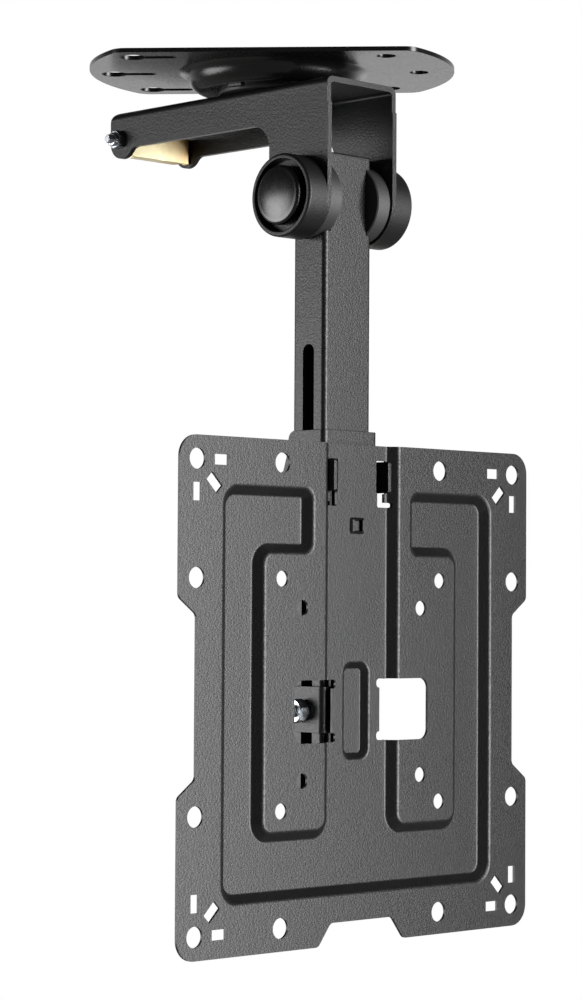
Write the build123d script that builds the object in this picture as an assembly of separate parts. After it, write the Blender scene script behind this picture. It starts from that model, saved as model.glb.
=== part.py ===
from build123d import *
import math
import os

# Folding ceiling mount for a small television, in millimetres.
# Origin: the swivel axis, at the ceiling. +Z up, +X along the fold pivot, +Y along the arm, so the
# television side faces -Y. Each function below makes one real piece.

# Where the main pieces lie
PIVOT_DROP = 65.5           # ceiling down to the fold pivot
PLATE_DROP = 285.4          # ceiling down to the centre of the screen plate
PIVOT_REACH = 38.8          # swivel axis forward to the fold pivot and the column's centre
SHEET_REACH = 19.7          # column's centre forward to the middle of the screen plate's sheet
RUN_FIT = 0.05              # radial clearance of a pin that turns in its hole
FACE_GAP = 0.1              # between flat faces that slide on each other
SLIDE_GAP = 0.3             # guide bracket around the column, each side

# Ceiling plate
CEILING_TURN = -48.0        # the plate's long side about the swivel axis, in degrees
CEILING_R = 83.9
CEILING_OFF = -0.7          # disc's centre along its long side, from the swivel axis
CEILING_WIDTH = 104.6
CEILING_T = 2.0
CEILING_CORNER_R = 8.0
DOME_BASE_R = 44.5
DOME_FLOOR_R = 32.0
DOME_DEPTH = 9.4
HOLE_ROW = 40.1             # outer rows of fixing holes from the middle row
ROUND_HOLE_R = 4.3
ROUND_HOLE_INSET = 30.8     # outer rows, in from the disc's end along its long side
ROUND_HOLE_INSET_MID = 16.9 # middle row
KEY_HEAD_R = 5.9
KEY_SLOT_W = 5.4
KEY_TRAVEL = 16.8
KEY_INSET = 23.6            # outer rows' heads, in from the disc's end along its long side
KEY_INSET_MID = 10.3        # middle row
NIB_INSET = 3.0             # small half-sheared nib, in from the edge of the dome's floor
NIB_SIZE = (7.0, 3.0, 1.0)
NIB_TURN = 191.0

# Swivel fastener
SWIVEL_R = 5.0
SWIVEL_HEAD_R = 11.0
SWIVEL_HEAD_H = 5.0
SWIVEL_SQUARE = 9.9
GLIDE_R = 25.0
GLIDE_T = 1.5
SWIVEL_WASHER_R = 10.5
SWIVEL_WASHER_T = 1.6
SWIVEL_NUT_AF = 17.0
SWIVEL_NUT_H = 8.0
SWIVEL_TIP = 1.5            # screw beyond its nut
SWIVEL_TIP_CHAMFER = 0.8
SWIVEL_HEAD_RIM = 1.2       # height of the domed head's edge
GLIDE_CLEAR = 0.3           # glide round the screw
NUT_CLEAR = 0.1             # bore of a nut round its screw, threads left out
HOLE_CLEAR = 0.2            # washers and clearance holes round a screw
HEX_CHAMFER = (0.1, 0.6)    # how far a hexagon's corners are turned off, beyond them and along them

# Folded arm: one sheet, a channel with two legs
ARM_W = 44.0
ARM_T = 2.5
ARM_BEND_R = 3.6
ARM_BEND_IN_R = 1.5
ARM_FRONT = 18.6            # front edge of the legs ahead of the pivot
ARM_STEP = 0.6              # the upper front edge stands back by this
ARM_STEP_DROP = 11.7
LEG_BACK = 18.6             # back edge of the legs behind the pivot
ARM_DEPTH = 17.6            # web's top to the flange's lower edge
ARM_END = 127.6             # pivot to the arm's far end
ARM_END_R = 5.0
LEG_CORNER_R = 11.0
LOBE_R = 8.1
LOBE_DROP = 14.3            # web's top down to the lobe's centre
LOBE_BLEND_R = 5.0

# Fold pivot
PIVOT_R = 4.0
COVER_R = 18.6
COVER_LENGTH = 11.0
COVER_EDGE_R = 1.3
RECESS_R = 16.2
RECESS_DEPTH = 4.2
RECESS_DRAFT = 0.5          # the recess is this much narrower at its floor
COVER_LIP_R = 0.6
COVER_BACK = 2.0
COVER_BORE_R = 9.0
CAP_R = 13.2
CAP_PROUD = 2.0             # cap's edge beyond the cover's face
CAP_RISE = 1.6              # dome's middle beyond its edge
CAP_EDGE_R = 1.6
CAP_WALL = 1.3
DISC_R = 17.6
DISC_T = 8.1
DISC_CHAMFER = 0.5
POCKET_GAP = 0.3
PIVOT_WASHER_R = 8.0
PIVOT_WASHER_T = 1.6
PIVOT_HEAD_AF = 13.0
PIVOT_HEAD_H = 5.0
PIVOT_NUT_H = 5.4
PIVOT_TIP = 0.8             # bolt beyond its nut
PIVOT_TIP_CHAMFER = 0.6
PIVOT_SLEEVE_R = 7.0

# Column, a rectangular tube
COLUMN_W = 30.0
COLUMN_D = 20.0
COLUMN_T = 1.5
COLUMN_R = 2.2
COLUMN_BORE_R = 0.9
COLUMN_ABOVE = 19.2         # tube above the pivot
COLUMN_BELOW = 281.6        # tube below the pivot
SLOT_PLAY = 0.55            # clamp screw in the column's slot, each side
SLOT_FORWARD = 0.2          # slot's middle ahead of the column's
SLOT_TOP = 64.9             # pivot down to the slot's upper end
TRAVEL_DOWN = 40.0          # how far the clamp slides down from where it is drawn
TRAVEL_SPARE = 1.0
PLUG_FLANGE = 1.5
PLUG_EDGE_R = 0.9
SPIGOT_R = 1.0
SPIGOT_BORE_R = 0.6
PLUG_DEPTH = 8.0
PLUG_WALL = 1.6
PLUG_FIT = 0.1

# Guide bracket, folded sheet round the column
GUIDE_T = 2.0
GUIDE_BEND_R = 2.6
COLLAR_TOP = 116.4          # above the screen plate's centre
COLLAR_H = 26.0
COLLAR_BACK = 10.0          # behind the column's centre
COLLAR_CORNER_R = 4.0
NECK_W = 24.0
NECK_BOTTOM = -26.0
JAW_TOP = 2.7
JAW_H = 20.4
JAW_BACK = 9.0
JAW_CORNER_R = 3.0
EAR_UP = 88.0               # striker pin above the plate's centre
EAR_R = 3.2
EAR_SHOULDER = 8.0          # collar's top down to where the ear leaves its back edge
EAR_KNEE = (3.2, 17.8)      # the ear's bend, behind the collar's back edge and below its top
EAR_FINGER = 5.0            # straight end of the ear
EAR_TIP_GAP = 0.3           # ear's tip to the latch screw when the mount is folded up
STRIKER_R = 1.6
STRIKER_HEAD_R = 2.2
STRIKER_HEAD_T = 0.4
HOOK_OUT = 18.2             # outer faces of the hooks that stand through the plate's slots
HOOK_TOP = 103.0
HOOK_LOW = 89.0
HOOK_PROUD = 3.6            # beyond the channel's floor
HOOK_LAP = 4.0              # how far a hook runs back along the collar's side
HOOK_CORNER_R = 1.0
TAB_GAP = 0.3               # locating tab in the plate's square hole, each side
TAB_UP = 74.0

# Screen plate, one pressed sheet
HOLE_OUT = 100.0            # holes of the 200 mm pattern, from the plate's centre
HOLE_MID = 50.0             # holes of the 100 mm pattern
HOLE_IN = 37.5              # holes of the 75 mm pattern
PLATE_EDGE = 10.0           # sheet beyond the outer holes
SHEET_T = 1.2
PLATE_CORNER_R = 9.5
NOTCH_DEPTH = 10.0
SIDE_NOTCH_FLAT = 34.5      # half length of the side notch's floor
SIDE_NOTCH_MOUTH = 41.8
BOTTOM_NOTCH_FLAT = 19.3
BOTTOM_NOTCH_MOUTH = 27.0
NOTCH_R = 3.2
PRESS_DEPTH = 4.0
BEND_R = 1.5                # inside radius of the press's bends
BAND_INSET = 15.5           # outer holes in to the pressed band at each side
BAND_HEAD_INSET = 10.4      # and at its top
BAND_FOOT_INSET = 11.8      # and at its foot
ARM_BAND_X = 31.0           # inner end of the upper arms of the pressed band
ARM_BAND_LOW = 61.0
ISLAND_EDGE = 10.5          # holes of the 100 mm pattern out to the island's side
ISLAND_FOOT = 9.0           # and down to the island's foot
CHANNEL_X = 22.8
BAND_CORNER_R = 9.0
ISLAND_CORNER_R = 5.0
CORNER_LAP = 3.0            # how far joined bars run into each other
BLANK_SPARE = 6.0           # blank beyond the finished edge, before it is cut out
BEND_SPARE = 3.0            # how far beyond the finished edge the bends are rounded
LEVEL_TOL = 0.01            # reach of a search for edges at one level
END_LAP = 0.5               # how far a bar's flat side passes the corner it joins
POCKET_W = 16.0
POCKET_H = 43.0
POCKET_UP = -8.0
POCKET_CORNER_R = 5.0
POCKET_BEND_R = 0.8         # inside radius of the pocket's bends
WINDOW_IN = 14.9
WINDOW_OUT = 42.2
WINDOW_TOP = 6.0
WINDOW_LOW = -21.5
WINDOW_R = 4.5
WINDOW_EAR = (2.0, 4.0)     # relief at the window's inner corners, width and height
HOOK_GAP = 0.4              # round each hook in its slot
SLOT_IN = 12.2
SLOT_NECK = (12.9, 17.2)    # the slot's narrower lower part
SLOT_FOOT_OUT = 20.8
GUIDE_SLOT_LOW = 82.5
GUIDE_FOOT_H = 2.2
SLOT_CORNER_R = 0.8
TAB_HOLE = (5.2, 5.2)       # hole for the locating tab, width and height
RIM_SIZE = (9.6, 7.4)       # raised rim round that hole
RIM_PROUD = 1.1
RIM_CORNER_R = 1.5
HOLE_200_R = 4.5
HOLE_100_R = 3.5
HOLE_75_R = 3.4
TIE_SLOT = (7.8, 4.5)
TIE_INSET = 13.8            # outer holes in to the tie slots
DIAGONAL_SLOT = (8.3, 4.8)
DIAGONAL_INSET = 9.8

# Clamp screw through the jaw and the column's slot
CLAMP_UP = -8.2
CLAMP_R = 2.95
CLAMP_HEAD_AF = 9.8
CLAMP_HEAD_H = 4.0
CLAMP_HEAD_TURN = 10.0      # how the hexagon stands, in degrees
CLAMP_NUT_H = 5.0
CLAMP_NUT_TURN = 14.0
CLAMP_TIP = 4.0             # screw beyond its nut
CLAMP_TIP_CHAMFER = 0.9
CLAMP_WASHER_R = 4.9
CLAMP_WASHER_T = 1.2

# Latch at the arm's far end
LATCH_BACK = 121.3          # pivot to the latch screw, along the arm
LATCH_DROP = 13.5           # web's top down to the latch screw
LATCH_R = 2.1
LATCH_HEAD_AF = 8.0
LATCH_HEAD_H = 3.5
LATCH_HEAD_TURN = 20.0
LATCH_NUT_H = 3.4
LATCH_NUT_TURN = 16.0
LATCH_COLLAR = (3.4, 1.8)   # round collar on the nut, radius and length
LATCH_TIP = 2.5             # screw beyond the collar
LATCH_TIP_ROUND = 0.4       # rounding of the screw's end, as a share of its radius
LEVER_T = 1.2
LEVER_SIDE_GAP = 0.3
LEVER_FRONT = 5.1           # latch screw forward to the lever's front face
LEVER_TOP = 4.5             # above the latch screw
LEVER_LOW = 7.5             # below the latch screw
LEVER_LIP = 7.0
LIP_CORNER_R = 2.0
LIP_GAP = 0.5               # between the lip and each striker ear
STRIKER_HOLD = 4.7          # latch screw down to the held striker pin
LEVER_EAR_R = 5.5
LEVER_HEEL_R = 0.7          # rounding behind the front plate, as a share of its drop below the cheeks
LEVER_BEND_R = 2.0
SPRING_WIRE_R = 0.35
SPRING_BORE_GAP = 0.15      # between the coil and the latch screw
SPRING_TURNS = 7.0
SPRING_PITCH = 0.95
SPRING_START = -90.0        # where the coil starts round its axis, in degrees
SPRING_CLEAR = 0.3

# Places worked out from the sizes above
PIVOT_Y = -PIVOT_REACH
PIVOT_Z = -PIVOT_DROP
PLATE_Y = PIVOT_Y - SHEET_REACH
PLATE_Z = -PLATE_DROP
PLATE_SIZE = 2 * (HOLE_OUT + PLATE_EDGE)
BLANK_OUT = PLATE_SIZE / 2 + BLANK_SPARE
BLANK_IN = PLATE_SIZE / 2 + BEND_SPARE
BAND_X = HOLE_OUT - BAND_INSET
BAND_TOP = HOLE_OUT - BAND_HEAD_INSET
BAND_BOTTOM = BAND_FOOT_INSET - HOLE_OUT
ISLAND_OUT = HOLE_MID + ISLAND_EDGE
ISLAND_LOW = -(HOLE_MID + ISLAND_FOOT)
TIE_SLOT_AT = HOLE_OUT - TIE_INSET
DIAGONAL_AT = HOLE_OUT - DIAGONAL_INSET
DOME_UNDER = -(DOME_DEPTH + CEILING_T)
WEB_TOP = DOME_UNDER - GLIDE_T
WEB_UNDER = WEB_TOP - ARM_T
FLANGE_OUT = ARM_W / 2
FLANGE_IN = FLANGE_OUT - ARM_T
DISC_OUT = FLANGE_IN - FACE_GAP
DISC_IN = DISC_OUT - DISC_T
POCKET_WALL_IN = DISC_IN - POCKET_GAP - COLUMN_T
TUBE_TOP = PIVOT_Z + COLUMN_ABOVE
TUBE_LOW = PIVOT_Z - COLUMN_BELOW
COLUMN_FRONT = PIVOT_Y - COLUMN_D / 2
GUIDE_IN = COLUMN_W / 2 + SLIDE_GAP
GUIDE_OUT = GUIDE_IN + GUIDE_T
GUIDE_FRONT = COLUMN_FRONT - SLIDE_GAP - GUIDE_T
CLAMP_Z = PLATE_Z + CLAMP_UP
LATCH_Y = PIVOT_Y + LATCH_BACK
LATCH_Z = WEB_TOP - LATCH_DROP
LEVER_OUT = FLANGE_IN - LEVER_SIDE_GAP
EAR_REACH = LATCH_Z - STRIKER_HOLD - PIVOT_Z
SPRING_COIL_R = LATCH_R + SPRING_BORE_GAP + SPRING_WIRE_R
HOOK_FRONT = PLATE_Y + PRESS_DEPTH - SHEET_T / 2 - HOOK_PROUD
POCKET_PRESS = GUIDE_FRONT - PLATE_Y - SHEET_T / 2 - PRESS_DEPTH


def block(x, y, z):
    """A box from the low and high ends along each axis."""
    size = (x[1] - x[0], y[1] - y[0], z[1] - z[0])
    return Pos((x[0] + x[1]) / 2, (y[0] + y[1]) / 2, (z[0] + z[1]) / 2) * Box(*size)


def rod_x(radius, x, y, z):
    """A round bar along X between two x values."""
    return Pos((x[0] + x[1]) / 2, y, z) * Rot(0, 90, 0) * Cylinder(radius, x[1] - x[0])


def hex_x(across_flats, x, y, z, turn=0.0):
    """A hexagonal bar along X between two x values, its outer corners turned off."""
    apothem = across_flats / 2
    corner_r = apothem / math.cos(math.pi / 6)
    length = x[1] - x[0]
    bar = extrude(RegularPolygon(corner_r, 6, rotation=turn), length / 2, both=True)
    cut = revolve(
        Plane.XZ
        * make_face(
            Polyline(
                (0, -length / 2),
                (apothem, -length / 2),
                (corner_r + HEX_CHAMFER[0], -length / 2 + HEX_CHAMFER[1]),
                (corner_r + HEX_CHAMFER[0], length / 2 - HEX_CHAMFER[1]),
                (apothem, length / 2),
                (0, length / 2),
                close=True,
            )
        ),
        Axis.Z,
    )
    return Pos((x[0] + x[1]) / 2, y, z) * Rot(0, 90, 0) * (bar & cut)


def turned_x(points):
    """A body turned about the X axis from (x, radius) points."""
    return revolve(Plane.XY * make_face(Polyline(*points, close=True)), Axis.X)


def side_face(outline):
    """A face in the YZ plane, drawn as (y, z), ready to extrude along X."""
    return Plane.YZ * outline


def plate_face(outline):
    """A face in the XZ plane at the screen plate's sheet, drawn as (x, height above its centre)."""
    return Pos(0, PLATE_Y, PLATE_Z) * (Plane.XZ * outline)


def rounded_rect(x, z, radius):
    """A rounded rectangle from its low and high ends."""
    size = (x[1] - x[0], z[1] - z[0])
    return Pos((x[0] + x[1]) / 2, (z[0] + z[1]) / 2) * RectangleRounded(*size, radius)


def dome_profile():
    """Half section of the dome: two equal arcs join the flat flange to the dome's floor."""
    run = DOME_BASE_R - DOME_FLOOR_R
    sweep = 2 * math.atan2(DOME_DEPTH, run)
    mid_r = run / (2 * math.sin(sweep))
    mid_z = -CEILING_T / 2
    half = CEILING_T / 2
    centre_up = (DOME_FLOOR_R, mid_z - DOME_DEPTH + mid_r)
    centre_down = (DOME_BASE_R, mid_z - mid_r)

    def on_arc(centre, radius, angle):
        return (centre[0] + radius * math.cos(angle), centre[1] + radius * math.sin(angle))

    def skin(side):
        r_down = mid_r + side * half
        r_up = mid_r - side * half
        top = math.pi / 2
        low = -math.pi / 2
        return (
            [on_arc(centre_down, r_down, top + sweep * k / 2) for k in (0, 1, 2)],
            [on_arc(centre_up, r_up, low + sweep * k / 2) for k in (2, 1, 0)],
        )

    upper, lower = skin(1), skin(-1)
    upper_floor = (0, mid_z - DOME_DEPTH + half)
    lower_floor = (0, mid_z - DOME_DEPTH - half)
    section = [
        ThreePointArc(*upper[0]),
        ThreePointArc(*upper[1]),
        Line(upper[1][2], upper_floor),
        Line(upper_floor, lower_floor),
        Line(lower_floor, lower[1][2]),
        ThreePointArc(*reversed(lower[1])),
        ThreePointArc(*reversed(lower[0])),
        Line(lower[0][0], upper[0][0]),
    ]
    return make_face(section)


def ceiling_plate():
    """Stamped disc with two flat sides, a pressed dome, keyholes and round holes."""
    disc = Circle(CEILING_R) & Rectangle(2 * CEILING_R, CEILING_WIDTH)
    outline = Pos(CEILING_OFF, 0) * fillet(disc.vertices(), CEILING_CORNER_R)
    for row, key_x, hole_x in (
        (-HOLE_ROW, CEILING_R - KEY_INSET, CEILING_R - ROUND_HOLE_INSET),
        (0.0, CEILING_R - KEY_INSET_MID, CEILING_R - ROUND_HOLE_INSET_MID),
        (HOLE_ROW, CEILING_R - KEY_INSET, CEILING_R - ROUND_HOLE_INSET),
    ):
        slot = Pos(-key_x + KEY_TRAVEL / 2, row) * SlotCenterToCenter(KEY_TRAVEL, KEY_SLOT_W)
        outline -= slot + Pos(-key_x, row) * Circle(KEY_HEAD_R)
        outline -= Pos(hole_x, row) * Circle(ROUND_HOLE_R)
    sheet = extrude(outline - Circle(DOME_BASE_R), -CEILING_T)
    dome = revolve(Plane.XZ * dome_profile(), Axis.Z)
    plate = sheet + dome
    square = SWIVEL_SQUARE + HOLE_CLEAR
    plate -= Pos(0, 0, DOME_UNDER) * Box(square, square, 4 * CEILING_T)
    length, width, depth = NIB_SIZE
    nib = Pos(DOME_FLOOR_R - NIB_INSET, 0, DOME_UNDER - depth / 2) * Box(width, length, depth)
    plate += Rot(0, 0, NIB_TURN - CEILING_TURN) * nib
    return Rot(0, 0, CEILING_TURN) * plate


def swivel_bolt():
    """Square-necked bolt, its low domed head in the dome's recess."""
    seat = DOME_UNDER + CEILING_T
    tip = WEB_UNDER - SWIVEL_WASHER_T - SWIVEL_NUT_H - SWIVEL_TIP
    sag = SWIVEL_HEAD_H - SWIVEL_HEAD_RIM
    head_sphere_r = (SWIVEL_HEAD_R**2 + sag**2) / (2 * sag)
    ball = Pos(0, 0, seat + SWIVEL_HEAD_H - head_sphere_r) * Sphere(head_sphere_r)
    blank = Pos(0, 0, seat + SWIVEL_HEAD_H / 2) * Cylinder(SWIVEL_HEAD_R, SWIVEL_HEAD_H)
    neck = Pos(0, 0, seat - CEILING_T / 2) * Box(SWIVEL_SQUARE, SWIVEL_SQUARE, CEILING_T)
    shank = Pos(0, 0, (seat + tip) / 2) * Cylinder(SWIVEL_R, seat - tip)
    bolt = Rot(0, 0, CEILING_TURN) * (neck + (ball & blank)) + shank
    return chamfer(bolt.faces().sort_by(Axis.Z)[0].edges(), SWIVEL_TIP_CHAMFER)


def ring_z(outer_r, inner_r, top, thickness):
    """A flat ring about the swivel axis, hanging down from its top face."""
    ring = Cylinder(outer_r, thickness) - Cylinder(inner_r, thickness)
    return Pos(0, 0, top - thickness / 2) * ring


def swivel_nut():
    """Hexagon nut under the arm's web."""
    top = WEB_UNDER - FACE_GAP - SWIVEL_WASHER_T
    nut = hex_x(SWIVEL_NUT_AF, (0, SWIVEL_NUT_H), 0, 0)
    nut = Pos(0, 0, top) * Rot(0, 90, 0) * nut
    return nut - Pos(0, 0, top) * Cylinder(SWIVEL_R + NUT_CLEAR, 4 * SWIVEL_NUT_H)


def arm_outline():
    """Side view of the folded arm: leg, arm, and the lobe that carries the latch."""
    front = PIVOT_Y - ARM_FRONT
    back = PIVOT_Y + LEG_BACK
    low = WEB_TOP - ARM_DEPTH
    end = PIVOT_Y + ARM_END
    lobe_y = end - LOBE_R
    lobe_z = WEB_TOP - LOBE_DROP
    leg = Pos((front + back) / 2, (WEB_TOP + PIVOT_Z) / 2) * Rectangle(back - front, WEB_TOP - PIVOT_Z)
    foot = Pos(PIVOT_Y, PIVOT_Z) * Circle(LEG_BACK)
    beam = Pos((front + end) / 2, (WEB_TOP + low) / 2) * Rectangle(end - front, WEB_TOP - low)
    side = leg + foot + beam
    inner_corner = side.vertices().sort_by_distance((back, low))[0]
    side = fillet([inner_corner], LEG_CORNER_R)
    end_corner = side.vertices().sort_by_distance((end, WEB_TOP))[0]
    side = fillet([end_corner], ARM_END_R)
    heel = Pos(lobe_y + LOBE_R / 2, (lobe_z + low - 1) / 2) * Rectangle(LOBE_R, low - 1 - lobe_z)
    side = side + Pos(lobe_y, lobe_z) * Circle(LOBE_R) - (heel - Pos(lobe_y, lobe_z) * Circle(LOBE_R))
    drop = low - lobe_z
    touch = (lobe_y - math.sqrt(LOBE_R**2 - drop**2), low)
    blend = side.vertices().sort_by_distance(touch)[0]
    side = fillet([blend], LOBE_BLEND_R)
    step = Pos(front, WEB_TOP - ARM_STEP_DROP / 2) * Rectangle(2 * ARM_STEP, ARM_STEP_DROP)
    return side - step


def arm_yoke():
    """Channel-section arm whose two flanges run down as legs to the fold pivot."""
    front = PIVOT_Y - ARM_FRONT
    end = PIVOT_Y + ARM_END
    low = PIVOT_Z - LEG_BACK
    height = WEB_TOP - low
    outer = Rectangle(ARM_W, 2 * height)
    inner = Rectangle(ARM_W - 2 * ARM_T, 2 * height - 2 * ARM_T)
    outer = fillet(outer.vertices(), ARM_BEND_R)
    inner = fillet(inner.vertices(), ARM_BEND_IN_R)
    section = (outer - inner) & Pos(0, height / 2) * Rectangle(ARM_W, height)
    channel = Pos(0, front, low) * extrude(Plane.XZ * section, -(end - front))
    body = channel & extrude(side_face(arm_outline()), FLANGE_OUT, both=True)
    body -= rod_x(PIVOT_R + RUN_FIT, (-ARM_W, ARM_W), PIVOT_Y, PIVOT_Z)
    body -= rod_x(LATCH_R + RUN_FIT, (-ARM_W, ARM_W), LATCH_Y, LATCH_Z)
    body -= Pos(0, 0, WEB_TOP) * Cylinder(SWIVEL_R + RUN_FIT, 4 * ARM_T)
    return body


def pivot_cover(side):
    """Round moulded cover over one end of the pivot bolt, with a deep dished face."""
    back = FLANGE_OUT
    face = back + COVER_LENGTH
    ledge = face - RECESS_DEPTH
    seat = back + COVER_BACK
    points = [
        (back, PIVOT_R + HOLE_CLEAR),
        (back, COVER_R),
        (face, COVER_R),
        (face, RECESS_R),
        (ledge, RECESS_R - RECESS_DRAFT),
        (ledge, COVER_BORE_R),
        (seat, COVER_BORE_R),
        (seat, PIVOT_R + HOLE_CLEAR),
    ]
    cover = turned_x(points)
    rim = [e for e in cover.edges().filter_by(GeomType.CIRCLE)
           if e.center().X > face - LEVEL_TOL and e.radius > COVER_R - LEVEL_TOL]
    cover = fillet(rim, COVER_EDGE_R)
    lip = [e for e in cover.edges().filter_by(GeomType.CIRCLE)
           if e.center().X > face - LEVEL_TOL and e.radius < RECESS_R + LEVEL_TOL]
    cover = fillet(lip, COVER_LIP_R)
    return place_side(cover, side)


def place_side(solid, side):
    """Moves a body turned about X onto the pivot, and mirrors it for the left side."""
    moved = Pos(0, PIVOT_Y, PIVOT_Z) * solid
    return moved if side > 0 else mirror(moved, Plane.YZ)


def pivot_cap(side):
    """Glossy domed cap that hides the bolt's head or nut."""
    base = FLANGE_OUT + COVER_LENGTH - RECESS_DEPTH
    edge = FLANGE_OUT + COVER_LENGTH + CAP_PROUD
    shoulder_r = CAP_R - CAP_EDGE_R
    sphere_r = (shoulder_r**2 + CAP_RISE**2) / (2 * CAP_RISE)
    centre = edge + CAP_RISE - sphere_r
    inner_r = CAP_R - CAP_WALL

    def on_dome(radius, out):
        return (centre + math.sqrt(radius**2 - out**2), out)

    def dome_arc(radius, out):
        return ThreePointArc(on_dome(radius, 0), on_dome(radius, out / 2), on_dome(radius, out))

    inner_sphere_r = sphere_r - CAP_WALL
    turn = CAP_EDGE_R * math.sin(math.pi / 4)
    round_edge = (edge - CAP_EDGE_R + turn, shoulder_r + turn)
    profile = make_face([
        Line(on_dome(inner_sphere_r, 0), on_dome(sphere_r, 0)),
        dome_arc(sphere_r, shoulder_r),
        ThreePointArc((edge, shoulder_r), round_edge, (edge - CAP_EDGE_R, CAP_R)),
        Line((edge - CAP_EDGE_R, CAP_R), (base, CAP_R)),
        Line((base, CAP_R), (base, inner_r)),
        Line((base, inner_r), on_dome(inner_sphere_r, inner_r)),
        dome_arc(inner_sphere_r, inner_r),
    ])
    return place_side(revolve(profile, Axis.X), side)


def friction_disc(side):
    """Thick friction disc that sits in the column's round pocket."""
    points = [
        (DISC_IN, PIVOT_R + RUN_FIT),
        (DISC_IN, DISC_R - DISC_CHAMFER),
        (DISC_IN + DISC_CHAMFER, DISC_R),
        (DISC_OUT - DISC_CHAMFER, DISC_R),
        (DISC_OUT, DISC_R - DISC_CHAMFER),
        (DISC_OUT, PIVOT_R + RUN_FIT),
    ]
    return place_side(turned_x(points), side)


def pivot_washers():
    """One flat washer in each cover."""
    seat = FLANGE_OUT + COVER_BACK
    points = [
        (seat, PIVOT_R + HOLE_CLEAR),
        (seat, PIVOT_WASHER_R),
        (seat + PIVOT_WASHER_T, PIVOT_WASHER_R),
        (seat + PIVOT_WASHER_T, PIVOT_R + HOLE_CLEAR),
    ]
    washer = turned_x(points)
    return Compound(children=[place_side(washer, 1), place_side(washer, -1)])


def pivot_bolt():
    """Hexagon bolt along the fold pivot, head on the right."""
    seat = FLANGE_OUT + COVER_BACK + PIVOT_WASHER_T
    tip = -(seat + PIVOT_NUT_H + PIVOT_TIP)
    shank = rod_x(PIVOT_R, (tip, seat), PIVOT_Y, PIVOT_Z)
    shank = chamfer(shank.faces().sort_by(Axis.X)[0].edges(), PIVOT_TIP_CHAMFER)
    return shank + hex_x(PIVOT_HEAD_AF, (seat, seat + PIVOT_HEAD_H), PIVOT_Y, PIVOT_Z)


def pivot_nut():
    """Thin nut on the left end of the pivot bolt."""
    seat = FLANGE_OUT + COVER_BACK + PIVOT_WASHER_T
    nut = hex_x(PIVOT_HEAD_AF, (-seat - PIVOT_NUT_H, -seat), PIVOT_Y, PIVOT_Z)
    return nut - rod_x(PIVOT_R + NUT_CLEAR, (-2 * seat, 0), PIVOT_Y, PIVOT_Z)


def pivot_sleeve():
    """Spacer tube inside the column, so the bolt cannot crush it."""
    span = (-POCKET_WALL_IN, POCKET_WALL_IN)
    return rod_x(PIVOT_SLEEVE_R, span, PIVOT_Y, PIVOT_Z) - rod_x(PIVOT_R + RUN_FIT, span, PIVOT_Y, PIVOT_Z)


def column_tube():
    """Rectangular tube with a pressed round pocket each side and a long slot for the clamp."""
    height = TUBE_TOP - TUBE_LOW
    outline = RectangleRounded(COLUMN_W, COLUMN_D, COLUMN_R)
    bore = RectangleRounded(COLUMN_W - 2 * COLUMN_T, COLUMN_D - 2 * COLUMN_T, COLUMN_BORE_R)
    pocket_r = DISC_R + POCKET_GAP
    pocket_floor = DISC_IN - POCKET_GAP
    skin = Pos(0, PIVOT_Y, TUBE_LOW) * extrude(outline, height)
    hollow = Pos(0, PIVOT_Y, TUBE_LOW) * extrude(bore, height)
    for side in (-1, 1):
        near, far = side * pocket_floor, side * COLUMN_W
        skin -= rod_x(pocket_r, sorted((near, far)), PIVOT_Y, PIVOT_Z)
        inner = side * (pocket_floor - COLUMN_T)
        hollow -= rod_x(pocket_r + COLUMN_T, sorted((inner, far)), PIVOT_Y, PIVOT_Z)
    tube = skin - hollow
    tube -= rod_x(PIVOT_R + 2 * RUN_FIT, (-COLUMN_W, COLUMN_W), PIVOT_Y, PIVOT_Z)
    slot_half = CLAMP_R + SLOT_PLAY
    slot_high = PIVOT_Z - SLOT_TOP
    slot_low = CLAMP_Z - TRAVEL_DOWN - slot_half - TRAVEL_SPARE
    middle = Pos(PIVOT_Y - SLOT_FORWARD, (slot_high + slot_low) / 2)
    slot = middle * Rot(0, 0, 90) * SlotOverall(slot_high - slot_low, 2 * slot_half)
    tube -= extrude(side_face(slot), COLUMN_W, both=True)
    return tube


def column_plug(end, bore_half, turn):
    """Push-in end plug: a rounded cover on a hollow spigot inside the tube."""
    cover = extrude(RectangleRounded(COLUMN_W, COLUMN_D, COLUMN_R), PLUG_FLANGE)
    cover = fillet(cover.faces().sort_by(Axis.Z)[-1].edges(), PLUG_EDGE_R)
    inner_w = 2 * (bore_half - PLUG_FIT)
    inner_d = COLUMN_D - 2 * COLUMN_T - 2 * PLUG_FIT
    spigot = RectangleRounded(inner_w, inner_d, SPIGOT_R)
    spigot -= RectangleRounded(inner_w - 2 * PLUG_WALL, inner_d - 2 * PLUG_WALL, SPIGOT_BORE_R)
    plug = cover + extrude(spigot, -PLUG_DEPTH)
    return Pos(0, PIVOT_Y, end) * Rot(turn, 0, 0) * plug


def guide_side(back, low, high, corner_r):
    """Side view of one pair of bracket flanges, from the web back along the column."""
    front = GUIDE_FRONT
    face = Pos((front + back) / 2, (low + high) / 2) * Rectangle(back - front, high - low)
    corners = face.vertices().group_by(Axis.X)[-1]
    return fillet(corners, corner_r)


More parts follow.
